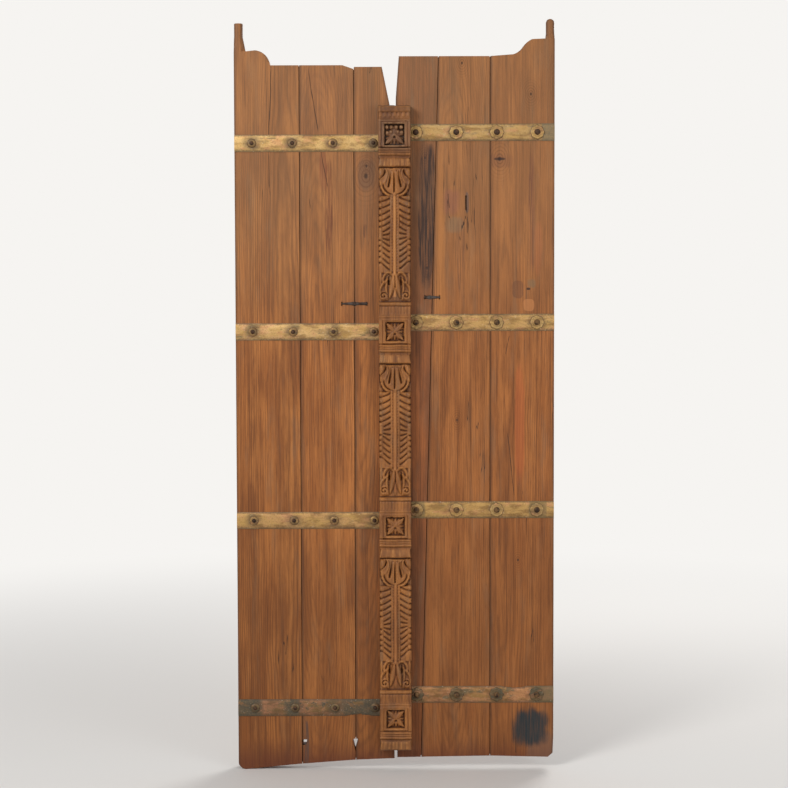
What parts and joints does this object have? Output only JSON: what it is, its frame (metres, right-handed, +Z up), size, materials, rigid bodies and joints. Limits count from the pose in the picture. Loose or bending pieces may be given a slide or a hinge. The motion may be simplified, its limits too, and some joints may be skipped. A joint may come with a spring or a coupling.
{
  "type": "carved temple door pair",
  "caption": "Pair of old teak door leaves with brass straps, petalled rosettes and a carved centre post, hung on wooden pivot pegs.",
  "frame": {"origin": "bottom centre: midway between the hinge edges and between the post's face and the clenched nails, level with the left leaf's lowest corner", "axes": "+X to the right leaf seen from outside, +Y inwards through the door, +Z up"},
  "size_m": [0.923, 0.1104, 2.181],
  "materials": {
    "old_teak": "weathered, oiled",
    "carved_teak": "carved, worn",
    "ledge_wood": "sawn, dusty",
    "aged_brass": "hammered, tarnished",
    "forged_iron": "forged, rusted"
  },
  "bodies": {
    "left_leaf": {"left_outer_plank": "old_teak", "left_middle_plank": "old_teak", "left_inner_plank": "old_teak", "left_strap_1": "aged_brass", "left_strap_2": "aged_brass", "left_strap_3": "aged_brass", "left_strap_4": "aged_brass", "left_ledge_1": "ledge_wood", "left_ledge_2": "ledge_wood", "left_ledge_3": "ledge_wood", "left_ledge_4": "ledge_wood", "left_washers_1": "aged_brass", "left_washers_2": "aged_brass", "left_washers_3": "aged_brass", "left_washers_4": "aged_brass", "left_nails_1": "forged_iron", "left_nails_2": "forged_iron", "left_nails_3": "forged_iron", "left_nails_4": "forged_iron", "left_iron_cramp": "forged_iron", "carved_center_post": "carved_teak", "post_nails": "forged_iron"},
    "right_leaf": {"right_outer_plank": "old_teak", "right_middle_plank": "old_teak", "right_inner_plank": "old_teak", "right_strap_1": "aged_brass", "right_strap_2": "aged_brass", "right_strap_3": "aged_brass", "right_strap_4": "aged_brass", "right_ledge_1": "ledge_wood", "right_ledge_2": "ledge_wood", "right_ledge_3": "ledge_wood", "right_ledge_4": "ledge_wood", "right_rosettes_1": "aged_brass", "right_rosettes_2": "aged_brass", "right_rosettes_3": "aged_brass", "right_rosettes_4": "aged_brass", "right_nails_1": "forged_iron", "right_nails_2": "forged_iron", "right_nails_3": "forged_iron", "right_nails_4": "forged_iron", "right_iron_cramp": "forged_iron"}
  },
  "joints": [
    {"name": "right_leaf_swing", "type": "hinge", "parent": "left_leaf", "child": "right_leaf", "pos_m": [0.4495, 0.0058, 1.05], "axis": [0, 0, -1], "range_deg": [0, 100]}
  ]
}
